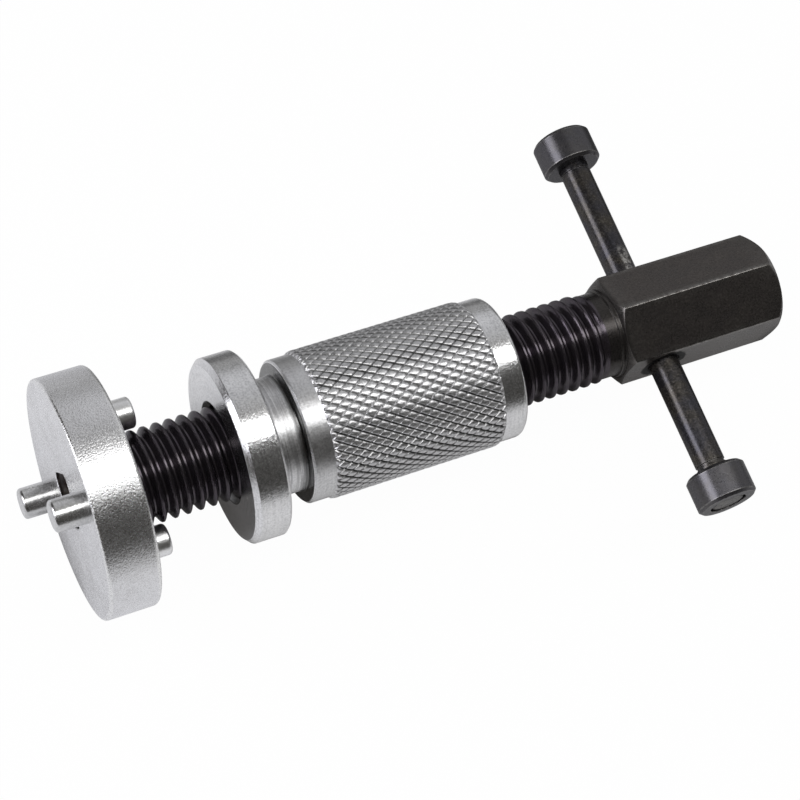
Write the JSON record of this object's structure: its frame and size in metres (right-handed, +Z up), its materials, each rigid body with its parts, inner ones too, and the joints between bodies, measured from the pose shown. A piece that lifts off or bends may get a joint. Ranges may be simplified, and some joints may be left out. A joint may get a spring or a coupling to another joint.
{
  "type": "brake caliper piston wind-back tool",
  "caption": "Screw tool that winds a brake caliper piston back: threaded spindle in a knurled flanged sleeve, pinned adaptor disc, hex head and sliding tommy bar.",
  "frame": {"origin": "on the tool's axis, in the rear face of the flange, which bears on the reaction plate", "axes": "+X along the tool's axis towards the hex head, +Y along the tommy bar at rest, +Z up"},
  "size_m": [0.1514, 0.0826, 0.046],
  "materials": {
    "bright_plated_steel": "bright plated over fine turning marks",
    "blasted_plated_steel": "bead blasted, satin plated",
    "polished_pin_steel": "ground and polished",
    "spring_steel": "drawn wire",
    "black_oxide_steel": "black oxide, oiled",
    "black_collar_steel": "black oxide, satin"
  },
  "bodies": {
    "sleeve": {"thrust_sleeve": "bright_plated_steel"},
    "ring": {"retaining_ring": "spring_steel"},
    "spindle": {"spindle": "black_oxide_steel"},
    "bar": {"tommy_bar": "black_oxide_steel", "tommy_bar_collar_upper": "black_collar_steel", "tommy_bar_collar_lower": "black_collar_steel"},
    "adaptor": {"adaptor_disc": "blasted_plated_steel", "front_drive_pin_near": "polished_pin_steel", "front_drive_pin_far": "polished_pin_steel", "rear_drive_pin_upper": "polished_pin_steel", "rear_drive_pin_lower": "polished_pin_steel"}
  },
  "joints": [
    {"name": "spindle_feed", "type": "slide", "parent": "sleeve", "child": "ring", "axis": [-1, 0, 0], "range_m": [-0.0135, 0.0195]},
    {"name": "spindle_turn", "type": "hinge", "parent": "ring", "child": "spindle", "pos_m": [0, 0, 0], "axis": [-1, 0, 0], "range_deg": [-1944, 2808]},
    {"name": "bar_slide", "type": "slide", "parent": "spindle", "child": "bar", "axis": [0, 1, 0], "range_m": [-0.0255, 0.0235]},
    {"name": "adaptor_pull", "type": "slide", "parent": "spindle", "child": "adaptor", "axis": [-1, 0, 0], "range_m": [0, 0.012]}
  ],
  "couplings": [
    {"joint": "spindle_feed", "follows": "spindle_turn", "m_per_rad": 0.00039789}
  ]
}
